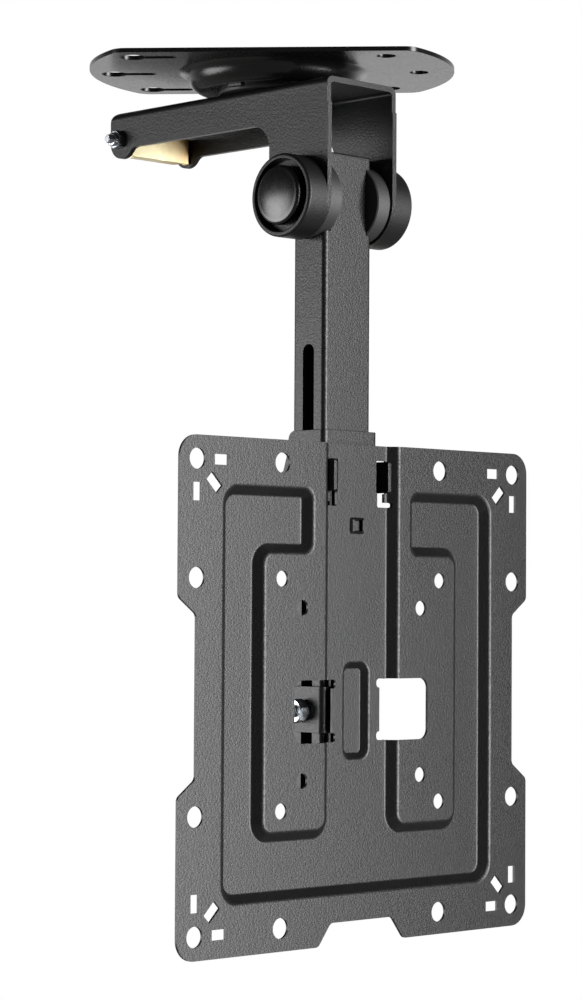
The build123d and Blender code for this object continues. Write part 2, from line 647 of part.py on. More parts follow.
def guide_bracket():
    """Folded bracket: a collar above, a clamping jaw below, and a neck that joins them."""
    high = PLATE_Z + COLLAR_TOP
    collar_low = high - COLLAR_H
    collar_back = PIVOT_Y + COLLAR_BACK
    jaw_high = PLATE_Z + JAW_TOP
    pin_y, pin_z = PIVOT_Y + EAR_REACH, PLATE_Z + EAR_UP
    reach = pin_y + 2 * EAR_R
    outer = Rectangle(2 * GUIDE_OUT, reach - GUIDE_FRONT)
    inner = Pos(0, GUIDE_T) * Rectangle(2 * GUIDE_IN, reach - GUIDE_FRONT)
    outer = fillet(outer.vertices().group_by(Axis.Y)[0], GUIDE_BEND_R)
    inner = fillet(inner.vertices().group_by(Axis.Y)[0], GUIDE_BEND_R - GUIDE_T)
    section = Pos(0, (GUIDE_FRONT + reach) / 2) * (outer - inner)
    low = PLATE_Z + NECK_BOTTOM
    channel = Pos(0, 0, low) * extrude(section, high - low)
    collar = guide_side(collar_back, collar_low, high, COLLAR_CORNER_R)
    tip = STRIKER_HOLD - LATCH_R - EAR_TIP_GAP
    ear = Pos(pin_y, pin_z) * (Circle(EAR_R) & Pos(tip - EAR_R, 0) * Rectangle(2 * EAR_R, 2 * EAR_R))
    arm = make_face(Polyline(
        (collar_back, high - EAR_SHOULDER),
        (collar_back + EAR_KNEE[0], high - EAR_KNEE[1]),
        (pin_y - EAR_FINGER, pin_z + EAR_R),
        (pin_y, pin_z + EAR_R),
        (pin_y, pin_z - EAR_R),
        (collar_back - COLLAR_CORNER_R, collar_low),
        (collar_back - COLLAR_CORNER_R, high - EAR_SHOULDER),
        close=True,
    ))
    jaw = guide_side(PIVOT_Y + JAW_BACK, jaw_high - JAW_H, jaw_high, JAW_CORNER_R)
    flanges = extrude(side_face(collar + ear + arm + jaw), GUIDE_OUT, both=True)
    bracket = channel & flanges
    neck = block((-NECK_W / 2, NECK_W / 2), (GUIDE_FRONT, GUIDE_FRONT + GUIDE_T), (low, high))
    tab_z = PLATE_Z + TAB_UP
    half_x = TAB_HOLE[0] / 2 - TAB_GAP
    half_z = TAB_HOLE[1] / 2 - TAB_GAP
    tab = block((-half_x, half_x), (PLATE_Y + PRESS_DEPTH, GUIDE_FRONT), (tab_z - half_z, tab_z + half_z))
    bracket = bracket + neck + tab
    for side in (-1, 1):
        hook_x = sorted((side * (HOOK_OUT - GUIDE_T), side * HOOK_OUT))
        hook = block(hook_x, (HOOK_FRONT, GUIDE_FRONT + HOOK_LAP), (PLATE_Z + HOOK_LOW, PLATE_Z + HOOK_TOP))
        bracket += fillet(hook.edges().filter_by(Axis.X).group_by(Axis.Y)[0], HOOK_CORNER_R)
    bracket -= rod_x(CLAMP_R + HOLE_CLEAR, (-COLUMN_W, COLUMN_W), PIVOT_Y, CLAMP_Z)
    bracket -= rod_x(STRIKER_R + RUN_FIT, (-COLUMN_W, COLUMN_W), pin_y, pin_z)
    return bracket


def striker_pin():
    """Cross pin that the latch holds when the mount is folded up."""
    y, z = PIVOT_Y + EAR_REACH, PLATE_Z + EAR_UP
    half = GUIDE_OUT + STRIKER_HEAD_T
    pin = rod_x(STRIKER_R, (-half, half), y, z)
    pin += rod_x(STRIKER_HEAD_R, (GUIDE_OUT, half), y, z)
    return pin + rod_x(STRIKER_HEAD_R, (-half, -GUIDE_OUT), y, z)


def edge_notch(flat, mouth):
    """One notch in the plate's upper edge: a flat floor between two sloping sides."""
    edge = PLATE_SIZE / 2
    floor = edge - NOTCH_DEPTH
    beyond = edge + 1
    points = [(-mouth, beyond), (-mouth, edge), (-flat, floor), (flat, floor), (mouth, edge), (mouth, beyond)]
    return make_face(Polyline(*points, close=True))


def plate_outline():
    """Outline of the screen plate: a square with notched sides and a notched lower edge."""
    square = RectangleRounded(PLATE_SIZE, PLATE_SIZE, PLATE_CORNER_R)
    side = edge_notch(SIDE_NOTCH_FLAT, SIDE_NOTCH_MOUTH)
    square -= Rot(0, 0, 90) * side
    square -= Rot(0, 0, -90) * side
    square -= Rot(0, 0, 180) * edge_notch(BOTTOM_NOTCH_FLAT, BOTTOM_NOTCH_MOUTH)
    corners = [v for v in square.vertices() if min(abs(v.X), abs(v.Y)) < SIDE_NOTCH_MOUTH + 1]
    return fillet(corners, NOTCH_R)


def pressed(x, z, radius, start, depth):
    """A rounded bar pressed into the sheet from a start level, its walls closing in at 45 degrees."""
    face = Pos(0, PLATE_Y + start, PLATE_Z) * (Plane.XZ * rounded_rect(x, z, radius))
    return extrude(face, amount=-depth, taper=45)


def inner_corner(x, z, turn, radius, start, depth):
    """Rounds the corner where two pressed bars meet round an island: a block less a cone."""
    centre_x = x - turn[0] * ISLAND_CORNER_R
    centre_z = PLATE_Z + z - turn[1] * ISLAND_CORNER_R
    reach = ISLAND_CORNER_R + depth + CORNER_LAP
    front = PLATE_Y + start
    span_x = sorted((centre_x, centre_x + turn[0] * reach))
    span_z = sorted((centre_z, centre_z + turn[1] * reach))
    cone = Rot(-90, 0, 0) * Cone(radius, radius + depth, depth)
    return block(span_x, (front, front + depth), span_z) - Pos(centre_x, front + depth / 2, centre_z) * cone


def relief(grow, start):
    """The pressed relief: a foot and two sides, two upper arms, and a channel open at the top."""
    bar_end = BAND_X - BAND_CORNER_R - END_LAP
    channel_low = (BAND_BOTTOM + ISLAND_LOW) / 2
    beyond = BLANK_OUT + 2 * ISLAND_CORNER_R
    foot_x = (-bar_end, bar_end)
    foot_z = (BAND_BOTTOM - grow, ISLAND_LOW + grow)
    shape = pressed(foot_x, foot_z, ISLAND_CORNER_R, start, PRESS_DEPTH)
    channel_x = (-CHANNEL_X - grow, CHANNEL_X + grow)
    shape += pressed(channel_x, (channel_low, beyond), ISLAND_CORNER_R, start, PRESS_DEPTH)
    for side in (-1, 1):
        bar_x = sorted((side * (ISLAND_OUT - grow), side * (BAND_X + grow)))
        bar_z = (BAND_BOTTOM - grow, BAND_TOP + grow)
        shape += pressed(bar_x, bar_z, BAND_CORNER_R + grow, start, PRESS_DEPTH)
        arm_x = sorted((side * (ARM_BAND_X - grow), side * bar_end))
        arm_z = (ARM_BAND_LOW - grow, BAND_TOP + grow)
        shape += pressed(arm_x, arm_z, ISLAND_CORNER_R + grow, start, PRESS_DEPTH)
        for x, z, turn in (
            (side * ISLAND_OUT, ARM_BAND_LOW, (side, 1)),
            (side * ISLAND_OUT, ISLAND_LOW, (side, -1)),
            (side * CHANNEL_X, ISLAND_LOW, (-side, -1)),
        ):
            shape += inner_corner(x, z, turn, ISLAND_CORNER_R - grow, start, PRESS_DEPTH)
    return shape


def bend(sheet, level, radius, x, z):
    """Rounds the press's bends on one face of the sheet at one level, between two ends each way."""
    y = PLATE_Y + level
    flat = sheet.edges().filter_by(Plane.XZ).filter_by_position(Axis.Y, y - LEVEL_TOL, y + LEVEL_TOL)
    inner = flat.filter_by_position(Axis.X, *x)
    return fillet(inner.filter_by_position(Axis.Z, PLATE_Z + z[0], PLATE_Z + z[1]), radius)


def vesa_plate():
    """Pressed sheet that the screen is screwed to."""
    half = SHEET_T / 2
    grow = SHEET_T * math.tan(math.radians(22.5))
    outer_r = BEND_R + SHEET_T
    sheet = extrude(plate_face(Rectangle(2 * BLANK_OUT, 2 * BLANK_OUT)), -half, both=True)
    sheet = sheet + relief(grow, half) - relief(0, -half)
    inside = (-BLANK_IN, BLANK_IN)
    for level, radius in (
        (-half, outer_r),
        (half, BEND_R),
        (PRESS_DEPTH - half, BEND_R),
        (PRESS_DEPTH + half, outer_r),
    ):
        sheet = bend(sheet, level, radius, inside, inside)
    pocket_x = (-POCKET_W / 2, POCKET_W / 2)
    pocket_z = (POCKET_UP - POCKET_H / 2, POCKET_UP + POCKET_H / 2)
    wide_x = (pocket_x[0] - grow, pocket_x[1] + grow)
    wide_z = (pocket_z[0] - grow, pocket_z[1] + grow)
    pocket_floor = PRESS_DEPTH + POCKET_PRESS
    sheet += pressed(wide_x, wide_z, POCKET_CORNER_R + grow, PRESS_DEPTH + half, POCKET_PRESS)
    sheet -= pressed(pocket_x, pocket_z, POCKET_CORNER_R, PRESS_DEPTH - half, POCKET_PRESS)
    near_x = (wide_x[0] - LEVEL_TOL, wide_x[1] + LEVEL_TOL)
    near_z = (wide_z[0] - LEVEL_TOL, wide_z[1] + LEVEL_TOL)
    for level, radius in (
        (PRESS_DEPTH - half, POCKET_BEND_R + SHEET_T),
        (PRESS_DEPTH + half, POCKET_BEND_R),
        (pocket_floor - half, POCKET_BEND_R),
        (pocket_floor + half, POCKET_BEND_R + SHEET_T),
    ):
        sheet = bend(sheet, level, radius, near_x, near_z)
    rim_x = (-RIM_SIZE[0] / 2, RIM_SIZE[0] / 2)
    rim_z = (TAB_UP - RIM_SIZE[1] / 2, TAB_UP + RIM_SIZE[1] / 2)
    rim = Plane.XZ * rounded_rect(rim_x, rim_z, RIM_CORNER_R)
    sheet += Pos(0, PLATE_Y + PRESS_DEPTH - half, PLATE_Z) * extrude(rim, amount=RIM_PROUD, taper=45)
    deep = extrude(plate_face(plate_outline()), pocket_floor + SHEET_T, both=True)
    return (sheet & deep) - plate_cuts()


def plate_cuts():
    """Everything punched through the screen plate, as one tool."""
    cuts = []
    for x in (-1, 1):
        for z in (-1, 1):
            cuts += [
                Pos(x * HOLE_OUT, z * HOLE_OUT) * Circle(HOLE_200_R),
                Pos(x * HOLE_MID, z * HOLE_OUT) * Circle(HOLE_200_R),
                Pos(x * HOLE_OUT, z * HOLE_MID) * Circle(HOLE_200_R),
                Pos(x * HOLE_MID, z * HOLE_MID) * Circle(HOLE_100_R),
                Pos(x * HOLE_IN, z * HOLE_IN) * Circle(HOLE_75_R),
                Pos(x * TIE_SLOT_AT, z * HOLE_OUT) * Rectangle(*TIE_SLOT),
                Pos(x * HOLE_OUT, z * TIE_SLOT_AT) * Rectangle(*reversed(TIE_SLOT)),
                Pos(x * DIAGONAL_AT, z * DIAGONAL_AT) * Rot(0, 0, 45 * x * z) * Rectangle(*DIAGONAL_SLOT),
            ]
        window_x = sorted((x * WINDOW_IN, x * WINDOW_OUT))
        cuts.append(rounded_rect(window_x, (WINDOW_LOW, WINDOW_TOP), WINDOW_R))
        ear_w, ear_h = WINDOW_EAR
        ear_x = sorted((x * (WINDOW_IN - ear_w), x * (WINDOW_IN + WINDOW_R)))
        cuts.append(rounded_rect(ear_x, (WINDOW_LOW, WINDOW_LOW + ear_h), 0.45 * ear_h))
        cuts.append(rounded_rect(ear_x, (WINDOW_TOP - ear_h, WINDOW_TOP), 0.45 * ear_h))
        slot_x = sorted((x * SLOT_IN, x * (HOOK_OUT + HOOK_GAP)))
        cuts.append(rounded_rect(slot_x, (HOOK_LOW - HOOK_GAP, HOOK_TOP + HOOK_GAP), SLOT_CORNER_R))
        neck_x = sorted((x * SLOT_NECK[0], x * SLOT_NECK[1]))
        cuts.append(rounded_rect(neck_x, (GUIDE_SLOT_LOW, HOOK_LOW + 2 * SLOT_CORNER_R), SLOT_CORNER_R))
        foot_x = sorted((x * (SLOT_NECK[1] - 2 * SLOT_CORNER_R), x * SLOT_FOOT_OUT))
        cuts.append(rounded_rect(foot_x, (GUIDE_SLOT_LOW, GUIDE_SLOT_LOW + GUIDE_FOOT_H), SLOT_CORNER_R))
    cuts.append(Pos(0, TAB_UP) * Rectangle(*TAB_HOLE))
    reach = PRESS_DEPTH + POCKET_PRESS + 2 * SHEET_T
    return [extrude(plate_face(cut), reach, both=True) for cut in cuts]


def clamp_bolt():
    """Screw across the jaw, through the column's slot."""
    seat = GUIDE_OUT + CLAMP_WASHER_T
    tip = -(seat + CLAMP_NUT_H + CLAMP_TIP)
    shank = rod_x(CLAMP_R, (tip, seat), PIVOT_Y, CLAMP_Z)
    shank = chamfer(shank.faces().sort_by(Axis.X)[0].edges(), CLAMP_TIP_CHAMFER)
    return shank + hex_x(CLAMP_HEAD_AF, (seat, seat + CLAMP_HEAD_H), PIVOT_Y, CLAMP_Z, CLAMP_HEAD_TURN)


def clamp_nut():
    """Nut on the clamp screw's left end."""
    seat = GUIDE_OUT + CLAMP_WASHER_T
    nut = hex_x(CLAMP_HEAD_AF, (-seat - CLAMP_NUT_H, -seat), PIVOT_Y, CLAMP_Z, CLAMP_NUT_TURN)
    return nut - rod_x(CLAMP_R + NUT_CLEAR, (-3 * seat, 0), PIVOT_Y, CLAMP_Z)


def clamp_washers():
    """One washer under the clamp screw's head and one under its nut."""
    rings = []
    for side in (-1, 1):
        span = sorted((side * GUIDE_OUT, side * (GUIDE_OUT + CLAMP_WASHER_T)))
        ring = rod_x(CLAMP_WASHER_R, span, PIVOT_Y, CLAMP_Z)
        rings.append(ring - rod_x(CLAMP_R + HOLE_CLEAR, span, PIVOT_Y, CLAMP_Z))
    return Compound(children=rings)


def latch_lever():
    """Folded lever: two cheeks on the latch screw, a front plate, and a lip that holds the striker."""
    front = LATCH_Y - LEVER_FRONT
    low = LATCH_Z - LEVER_LOW
    high = LATCH_Z + LEVER_TOP
    back = LATCH_Y + LEVER_EAR_R
    outer = Pos(0, (front + back) / 2) * Rectangle(2 * LEVER_OUT, back - front)
    inner = Pos(0, (front + back) / 2 + LEVER_T) * Rectangle(2 * (LEVER_OUT - LEVER_T), back - front)
    outer = fillet(outer.vertices().group_by(Axis.Y)[0], LEVER_BEND_R)
    inner = fillet(inner.vertices().group_by(Axis.Y)[0], LEVER_BEND_R - LEVER_T)
    shell = Pos(0, 0, low) * extrude(outer - inner, high - low)
    cheek = Pos(LATCH_Y, LATCH_Z) * Circle(LEVER_EAR_R)
    plate = Pos((front + LATCH_Y) / 2, (low + high) / 2) * Rectangle(LATCH_Y - front, high - low)
    side = cheek + plate
    side &= Pos((front + back) / 2, (low + high) / 2) * Rectangle(back - front, high - low)
    heel = side.vertices().sort_by_distance((LATCH_Y, low))[0:1]
    side = fillet(heel, LEVER_HEEL_R * (LEVER_LOW - LEVER_EAR_R))
    lever = shell & extrude(side_face(side), LEVER_OUT, both=True)
    lip_half = GUIDE_IN - LIP_GAP
    lip = block((-lip_half, lip_half), (front, front + LEVER_LIP), (low, low + LEVER_T))
    lip = fillet(lip.edges().filter_by(Axis.Z).group_by(Axis.Y)[-1], LIP_CORNER_R)
    lever += lip
    return lever - rod_x(LATCH_R + RUN_FIT, (-ARM_W, ARM_W), LATCH_Y, LATCH_Z)


def latch_bolt():
    """Small screw through both lobes of the arm, the lever's axle."""
    tip = -(FLANGE_OUT + LATCH_NUT_H + LATCH_COLLAR[1] + LATCH_TIP)
    shank = rod_x(LATCH_R, (tip, FLANGE_OUT), LATCH_Y, LATCH_Z)
    shank = fillet(shank.faces().sort_by(Axis.X)[0].edges(), LATCH_TIP_ROUND * LATCH_R)
    head = hex_x(LATCH_HEAD_AF, (FLANGE_OUT, FLANGE_OUT + LATCH_HEAD_H), LATCH_Y, LATCH_Z, LATCH_HEAD_TURN)
    return shank + head


def latch_nut():
    """Lock nut on the latch screw's left end: a hexagon with a rounded collar."""
    seat = -FLANGE_OUT - LATCH_NUT_H
    nut = hex_x(LATCH_HEAD_AF, (seat, -FLANGE_OUT), LATCH_Y, LATCH_Z, LATCH_NUT_TURN)
    radius, length = LATCH_COLLAR
    collar = rod_x(radius, (seat - length, seat), LATCH_Y, LATCH_Z)
    nut += fillet(collar.faces().sort_by(Axis.X)[0].edges(), 0.6 * length)
    return nut - rod_x(LATCH_R + NUT_CLEAR, (-2 * FLANGE_OUT, 0), LATCH_Y, LATCH_Z)


def latch_spring():
    """Torsion spring on the latch screw: one leg under the web, one behind the front plate."""
    length = SPRING_TURNS * SPRING_PITCH
    helix = Helix(SPRING_PITCH, length, SPRING_COIL_R)
    coil = sweep(Plane(helix @ 0, z_dir=helix % 0) * Circle(SPRING_WIRE_R), path=helix)
    coil = Rot(0, 0, SPRING_START) * coil
    upper = WEB_UNDER - LATCH_Z - SPRING_CLEAR
    lower = LEVER_LOW - LEVER_T - SPRING_CLEAR
    up_leg = Pos(-upper / 2, -SPRING_COIL_R, 0) * Rot(0, 90, 0) * Cylinder(SPRING_WIRE_R, upper)
    down_leg = Pos(lower / 2, -SPRING_COIL_R, length) * Rot(0, 90, 0) * Cylinder(SPRING_WIRE_R, lower)
    spring = coil + up_leg + down_leg
    return Pos(-length / 2, LATCH_Y, LATCH_Z) * Rot(0, 90, 0) * spring


def write(name, shape):
    """Writes one piece to its own file."""
    export_step(shape, os.path.join("parts", name + ".step"))


def main():
    """Makes every piece and writes it."""
    os.makedirs("parts", exist_ok=True)
    web_gap = WEB_UNDER - FACE_GAP
    pieces = {
        "ceiling_plate": ceiling_plate(),
        "swivel_bolt": swivel_bolt(),
        "swivel_glide": ring_z(GLIDE_R, SWIVEL_R + GLIDE_CLEAR, DOME_UNDER, GLIDE_T - FACE_GAP),
        "swivel_washer": ring_z(SWIVEL_WASHER_R, SWIVEL_R + HOLE_CLEAR, web_gap, SWIVEL_WASHER_T),
        "swivel_nut": swivel_nut(),
        "arm_yoke": arm_yoke(),
        "pivot_cover_left": pivot_cover(-1),
        "pivot_cover_right": pivot_cover(1),
        "pivot_cap_left": pivot_cap(-1),
        "pivot_cap_right": pivot_cap(1),
        "pivot_bolt": pivot_bolt(),
        "pivot_nut": pivot_nut(),
        "pivot_washers": pivot_washers(),
        "friction_disc_left": friction_disc(-1),
        "friction_disc_right": friction_disc(1),
        "pivot_sleeve": pivot_sleeve(),
        "column_tube": column_tube(),
        "column_top_plug": column_plug(TUBE_TOP, POCKET_WALL_IN, 0),
        "column_bottom_plug": column_plug(TUBE_LOW, COLUMN_W / 2 - COLUMN_T, 180),
        "guide_bracket": guide_bracket(),
        "striker_pin": striker_pin(),
        "vesa_plate": vesa_plate(),
        "clamp_bolt": clamp_bolt(),
        "clamp_nut": clamp_nut(),
        "clamp_washers": clamp_washers(),
        "latch_lever": latch_lever(),
        "latch_bolt": latch_bolt(),
        "latch_nut": latch_nut(),
        "latch_spring": latch_spring(),
    }
    for name, shape in pieces.items():
        write(name, shape)


main()
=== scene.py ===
"""Looks for a folding television ceiling mount.

The CAD frame gives every piece its place. This script adds the finishes, rounds the sheet edges, turns
the pivot caps again as smooth skins, cuts the screw threads, and lights the studio.
"""

import logging
import math
from dataclasses import dataclass, field
from enum import Enum

import bmesh
import bpy
import numpy as np
from mathutils import Matrix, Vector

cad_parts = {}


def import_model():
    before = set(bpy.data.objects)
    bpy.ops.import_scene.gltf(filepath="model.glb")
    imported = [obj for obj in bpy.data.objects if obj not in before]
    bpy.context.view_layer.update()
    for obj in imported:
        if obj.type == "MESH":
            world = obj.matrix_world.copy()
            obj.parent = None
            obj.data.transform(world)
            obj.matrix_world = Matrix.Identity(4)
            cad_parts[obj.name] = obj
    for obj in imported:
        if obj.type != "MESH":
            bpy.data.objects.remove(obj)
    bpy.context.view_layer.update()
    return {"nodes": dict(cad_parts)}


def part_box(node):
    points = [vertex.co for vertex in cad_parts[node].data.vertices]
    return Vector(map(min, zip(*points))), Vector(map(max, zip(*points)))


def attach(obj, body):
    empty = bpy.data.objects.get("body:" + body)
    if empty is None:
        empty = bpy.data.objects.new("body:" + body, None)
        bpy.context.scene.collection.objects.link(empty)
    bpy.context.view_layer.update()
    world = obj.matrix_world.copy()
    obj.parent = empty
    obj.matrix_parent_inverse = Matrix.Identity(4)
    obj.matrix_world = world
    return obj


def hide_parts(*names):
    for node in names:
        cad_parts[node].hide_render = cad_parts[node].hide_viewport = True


LOG = logging.getLogger("ceiling_mount")
MM = 0.001

# Points nearer than this are one point, in millimetres.
JOIN_MM = 0.002
# Faces that turn by less than this are one flat face, in degrees.
FLAT_ANGLE = 0.4
# Edges that turn by more than this are shaded sharp, in degrees.
SHARP_ANGLE = 38.0
# The range that a noise texture's values mostly keep to.
NOISE_LOW, NOISE_HIGH = 0.3, 0.7


class Axis(Enum):
    """The axis that a turned form runs along."""

    X = "x"
    Z = "z"


class Surface(Enum):
    """How a piece's surface was made, which picks its grain."""

    POWDER = "sprayed and baked"
    MOULDED = "moulded"
    PLATED = "plated"


def linear(hex_colour: str) -> tuple[float, float, float, float]:
    """Turns an sRGB hex colour into linear light.

    Args:
        hex_colour: Six hex digits with a leading hash.

    Returns:
        Red, green, blue and an alpha of one.
    """
    parts = [int(hex_colour[i : i + 2], 16) / 255 for i in (1, 3, 5)]
    low = [c / 12.92 if c <= 0.04045 else ((c + 0.055) / 1.055) ** 2.4 for c in parts]
    return (low[0], low[1], low[2], 1.0)


def add_node(tree: bpy.types.NodeTree, kind: str, values: dict, links: dict) -> bpy.types.Node:
    """Adds a node with its settings, its socket values and the links into it.

    Args:
        tree: The node tree.
        kind: Blender's node type.
        values: Settings by attribute name, or socket values by socket name or number.
        links: Output sockets by the input that they feed.

    Returns:
        The new node.
    """
    node = tree.nodes.new(kind)
    for name, value in values.items():
        if isinstance(name, str) and hasattr(node, name):
            setattr(node, name, value)
        else:
            node.inputs[name].default_value = value
    for name, output in links.items():
        tree.links.new(output, node.inputs[name])
    return node


@dataclass(frozen=True)
class Finish:
    """One real material and how its surface was made.

    Colours are sRGB hex, sizes are in millimetres, and heights are the bump's depth. The painted shade drift
    is how fast the tint comes in along each axis, per metre, from its start at the origin: a painted
    gradient of shade.
    """

    name: str
    surface: Surface
    colour: str
    tint: str
    roughness: float
    spread: float
    metallic: float = 0.0
    ior: float = 1.5
    grain_mm: float = 0.9
    grain_height_mm: float = 0.05
    wave_mm: float = 12.0
    wave_height_mm: float = 0.0
    patch_mm: float = 40.0
    painted_shade_drift: tuple[float, float, float] = (0.0, 0.0, 0.0)
    painted_shade_start: float = 0.5

    def build(self) -> bpy.types.Material:
        """Makes the node material.

        Returns:
            The material, which reads Object coordinates only.
        """
        material = bpy.data.materials.new(self.name)
        material.use_nodes = True
        tree = material.node_tree
        tree.nodes.clear()
        place = add_node(tree, "ShaderNodeTexCoord", {}, {}).outputs["Object"]
        patch = add_node(
            tree,
            "ShaderNodeTexNoise",
            {"Scale": 1 / (self.patch_mm * MM), "Detail": 3.0, "Roughness": 0.6},
            {"Vector": place},
        )
        grain = add_node(
            tree,
            "ShaderNodeTexNoise",
            {"Scale": 1 / (self.grain_mm * MM), "Detail": 2.0, "Roughness": 0.5},
            {"Vector": place},
        )
        # The tint that comes in along this run is painted shade.
        run = add_node(tree, "ShaderNodeVectorMath", {"operation": "DOT_PRODUCT", 1: self.painted_shade_drift}, {0: place})
        share = add_node(
            tree,
            "ShaderNodeMath",
            {"operation": "ADD", "use_clamp": True},
            {0: run.outputs["Value"], 1: self.tint_share(tree, patch)},
        )
        tone_and_painted_shade = add_node(
            tree,
            "ShaderNodeMixRGB",
            {"Color1": linear(self.colour), "Color2": linear(self.tint)},
            {"Fac": share.outputs[0]},
        )
        smooth, rough = self.roughness - self.spread, self.roughness + self.spread
        gloss = add_node(
            tree,
            "ShaderNodeMapRange",
            {"From Min": NOISE_LOW, "From Max": NOISE_HIGH, "To Min": smooth, "To Max": rough},
            {"Value": self.rough_source(patch, grain)},
        )
        relief = add_node(
            tree,
            "ShaderNodeBump",
            {"Strength": 1.0, "Distance": self.grain_height_mm * MM},
            {"Height": grain.outputs["Fac"]},
        )
        if self.wave_height_mm:
            wave = add_node(
                tree,
                "ShaderNodeTexNoise",
                {"Scale": 1 / (self.wave_mm * MM), "Detail": 1.0},
                {"Vector": place},
            )
            relief = add_node(
                tree,
                "ShaderNodeBump",
                {"Strength": 1.0, "Distance": self.wave_height_mm * MM},
                {"Height": wave.outputs["Fac"], "Normal": relief.outputs["Normal"]},
            )
        shader = add_node(
            tree,
            "ShaderNodeBsdfPrincipled",
            {"Metallic": self.metallic, "IOR": self.ior},
            {
                "Base Color": tone_and_painted_shade.outputs["Color"],
                "Roughness": gloss.outputs["Result"],
                "Normal": relief.outputs["Normal"],
            },
        )
        add_node(tree, "ShaderNodeOutputMaterial", {}, {"Surface": shader.outputs["BSDF"]})
        return material

    def tint_share(self, tree: bpy.types.NodeTree, patch: bpy.types.Node) -> bpy.types.NodeSocket:
        """The tint's share at the origin: the broad noise, whose middle is moved to where the painted shade
        starts.

        Args:
            tree: The node tree.
            patch: The broad noise.

        Returns:
            The socket that holds the share.
        """
        rise = self.painted_shade_start - 0.5
        moved = add_node(tree, "ShaderNodeMath", {"operation": "ADD", 1: rise}, {0: patch.outputs["Fac"]})
        return moved.outputs[0]

    def rough_source(self, patch: bpy.types.Node, grain: bpy.types.Node) -> bpy.types.NodeSocket:
        """Powder and mouldings vary by grain; plating varies by patches.

        Args:
            patch: The broad noise.
            grain: The fine noise.

        Returns:
            The socket that drives the roughness.
        """
        return patch.outputs["Fac"] if self.surface is Surface.PLATED else grain.outputs["Fac"]


# Polyester powder sprayed on steel and baked: a matt black film with a fine, even grain.
# The real grain is about 0.3 mm, and is drawn at 0.9 mm so that it shows.
POWDER_COAT = Finish(
    "black_powder_coat", Surface.POWDER, "#0b0b0b", "#0e0e0f", 0.38, 0.05,
    ior=1.42, grain_mm=0.9, grain_height_mm=0.11, wave_mm=9.0, wave_height_mm=0.03, patch_mm=60.0,
)
# The same powder laid smoother on the ceiling plate, which is seen at a low angle.
CEILING_COAT = Finish(
    "black_powder_coat_ceiling", Surface.POWDER, "#090909", "#0c0c0d", 0.24, 0.04,
    ior=1.45, grain_mm=1.2, grain_height_mm=0.03, wave_mm=14.0, wave_height_mm=0.04, patch_mm=60.0,
)
# Zinc plated and clear passivated steel: bright, a little blue, with a fine drawn grain.
BRIGHT_ZINC = Finish(
    "bright_zinc_plating", Surface.PLATED, "#c4c8cd", "#b3b8bf", 0.26, 0.08,
    metallic=1.0, grain_mm=0.5, grain_height_mm=0.01, patch_mm=3.0,
)
# Zinc plated steel with a yellow passivate, matt as dipped. Its pale cream colour is a painted highlight,
# and the amber tint that comes in towards +X and the top is painted shade.
YELLOW_ZINC = Finish(
    "yellow_zinc_plating", Surface.PLATED, "#fff4cc", "#a87420", 0.55, 0.06,
    metallic=0.8, grain_mm=0.6, grain_height_mm=0.01, patch_mm=14.0,
    painted_shade_drift=(32.0, 0.0, 30.0), painted_shade_start=0.98,
)
# Glass-filled nylon moulded in a spark-eroded tool: satin with a fine even grain.
SATIN_NYLON = Finish(
    "satin_moulded_nylon", Surface.MOULDED, "#0b0b0c", "#0e0e0f", 0.44, 0.06,
    ior=1.38, grain_mm=1.0, grain_height_mm=0.05, patch_mm=30.0,
)
# ABS moulded in a lightly blasted tool: deep black with a blurred mirror.
GLOSS_ABS = Finish(
    "gloss_moulded_abs", Surface.MOULDED, "#050505", "#070707", 0.27, 0.02,
    ior=1.53, grain_mm=2.0, grain_height_mm=0.002, patch_mm=20.0,
)
# Plain moulded nylon for glides, discs and plugs.
PLAIN_NYLON = Finish(
    "plain_moulded_nylon", Surface.MOULDED, "#202021", "#262627", 0.5, 0.05,
    grain_mm=0.8, grain_height_mm=0.02, patch_mm=30.0,
)


def dress(node: bpy.types.Object, material: bpy.types.Material) -> None:
    """Gives every slot of a piece one material."""
    if not node.data.materials:
        node.data.materials.append(material)
    for index in range(len(node.data.materials)):
        node.data.materials[index] = material


def stand_in(piece: bpy.types.Object, node: str, body: str, material: bpy.types.Material) -> None:
    """Lets a finished piece take a CAD node's place.

    Args:
        piece: The piece, in place.
        node: The CAD node that it stands in for.
        body: The body that it rides on.
        material: Its finish.
    """
    dress(piece, material)
    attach(piece, body)
    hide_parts(node)


def new_piece(name: str, data: bpy.types.Mesh) -> bpy.types.Object:
    """Links a mesh into the scene as a smooth object with its sharp edges marked.

    Args:
        name: The object's name.
        data: Its mesh, in metres in the row frame.

    Returns:
        The object, at the origin.
    """
    data.shade_smooth()
    data.set_sharp_from_angle(angle=math.radians(SHARP_ANGLE))
    piece = bpy.data.objects.new(name, data)
    bpy.context.scene.collection.objects.link(piece)
    return piece


def ring_quads(rings: int, around: int) -> np.ndarray:
    """Joins rings of points into quads, where ring r holds the points r * around to r * around + around.

    Args:
        rings: How many rings there are.
        around: Points on each ring.

    Returns:
        One row of four point numbers per quad.
    """
    ring, step = np.meshgrid(np.arange(rings - 1), np.arange(around), indexing="ij")
    here = ring * around + step
    right = ring * around + (step + 1) % around
    return np.stack([here, right, right + around, here + around], axis=-1).reshape(-1, 4)


